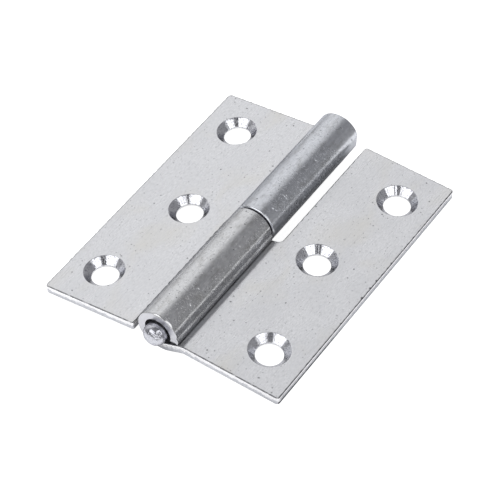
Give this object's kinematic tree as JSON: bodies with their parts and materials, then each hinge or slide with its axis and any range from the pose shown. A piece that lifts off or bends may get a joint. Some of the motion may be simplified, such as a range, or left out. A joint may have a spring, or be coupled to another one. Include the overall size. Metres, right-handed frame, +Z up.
{
  "type": "lift-off hinge",
  "caption": "Lift-off hinge of bent and rolled sheet steel with countersunk screw holes, whose door leaf swings on the pin and slides off it lengthwise.",
  "frame": {"origin": "on the table the hinge lies on, under the pin axis, midway along the whole length with the pin's nose", "axes": "+Y along the pin from its free nose to the frame leaf's knuckle end, +X across the leaves from the frame leaf to the door leaf, +Z up from the backs to the countersunk faces"},
  "size_m": [0.0636, 0.078, 0.0107],
  "materials": {
    "frame_leaf": "bright zinc plate over mill-finish sheet",
    "door_leaf": "bright zinc plate over mill-finish sheet",
    "hinge_pin": "bright zinc plate, rough nose"
  },
  "bodies": {
    "frame": {"frame_leaf": "frame_leaf"},
    "pin": {"hinge_pin": "hinge_pin"},
    "door": {"door_leaf": "door_leaf"}
  },
  "joints": [
    {"name": "swing", "type": "hinge", "parent": "frame", "child": "pin", "pos_m": [0, 0, 0.00541], "axis": [0, -1, 0], "range_deg": [-118, 190]},
    {"name": "lift_off", "type": "slide", "parent": "pin", "child": "door", "axis": [0, -1, 0], "range_m": [-0.0004, 0.045]}
  ]
}
